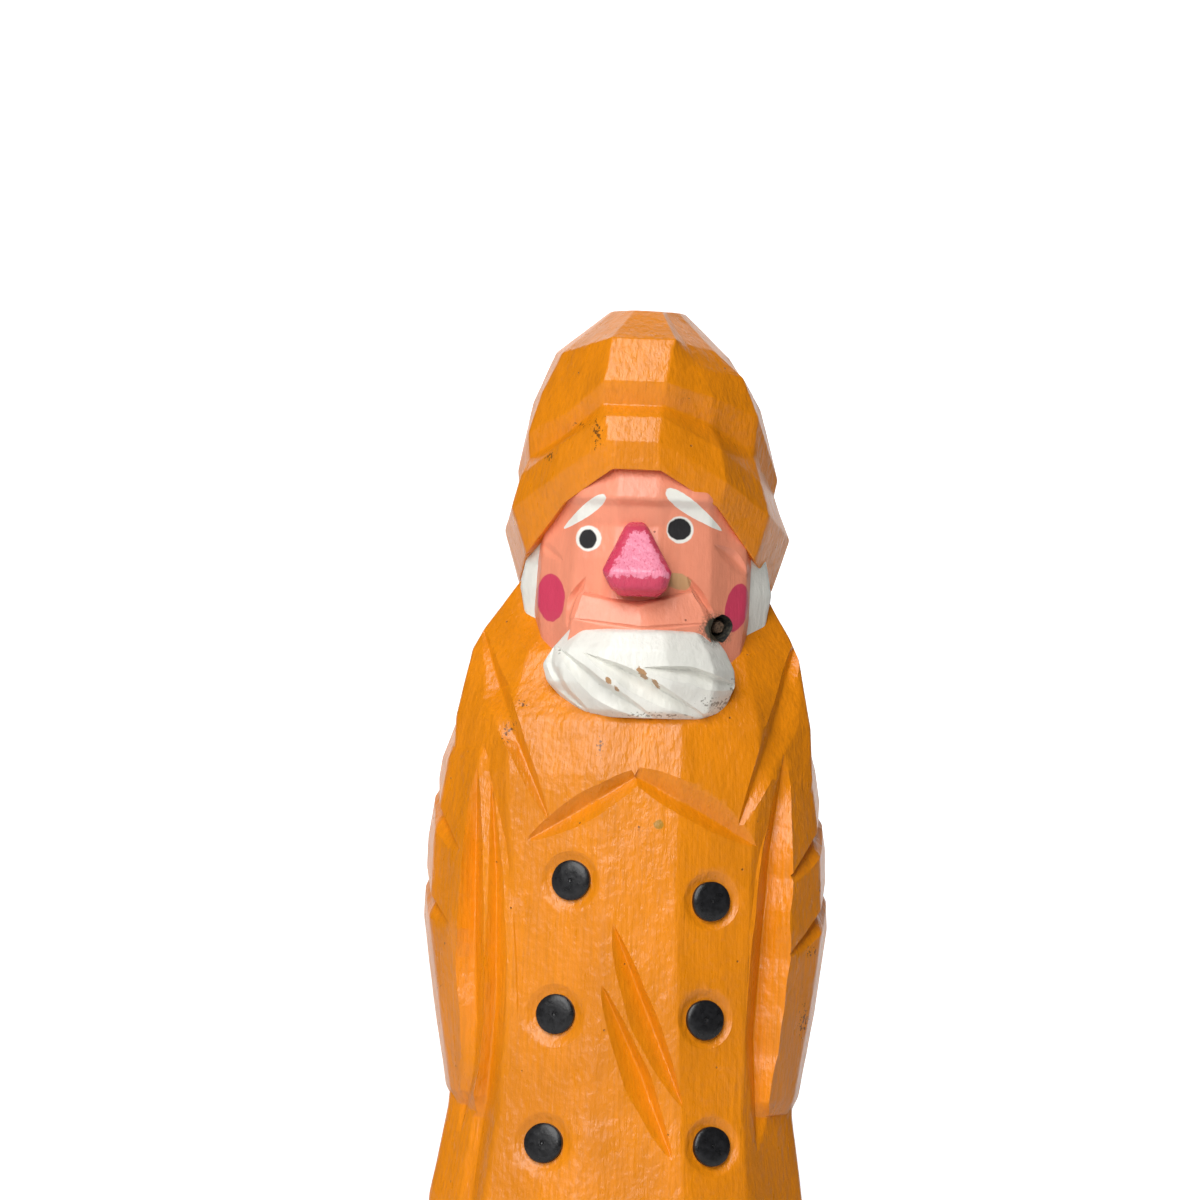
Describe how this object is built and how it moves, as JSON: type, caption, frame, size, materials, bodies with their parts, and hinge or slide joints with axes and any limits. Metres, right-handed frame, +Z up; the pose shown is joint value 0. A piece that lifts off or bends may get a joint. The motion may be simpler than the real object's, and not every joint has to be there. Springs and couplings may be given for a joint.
{
  "type": "fisherman carving",
  "caption": "Hand-carved, painted wooden fisherman in a sou'wester and long oilskin coat, standing in sea boots on a low base, as a shelf ornament.",
  "frame": {"origin": "middle of the flat underside of the base, at the height that the figure stands on", "axes": "+Z up through the hat, the figure faces -Y, and +X is at the figure's left hand"},
  "size_m": [0.062, 0.056, 0.205],
  "materials": {
    "painted_wood": "brushed orange paint over carved facets, under a satin varnish",
    "bare_stem_wood": "raw, dirty broken end grain"
  },
  "bodies": {
    "root": {"fisherman": "painted_wood", "pipe_stem_stub": "bare_stem_wood"}
  },
  "joints": []
}
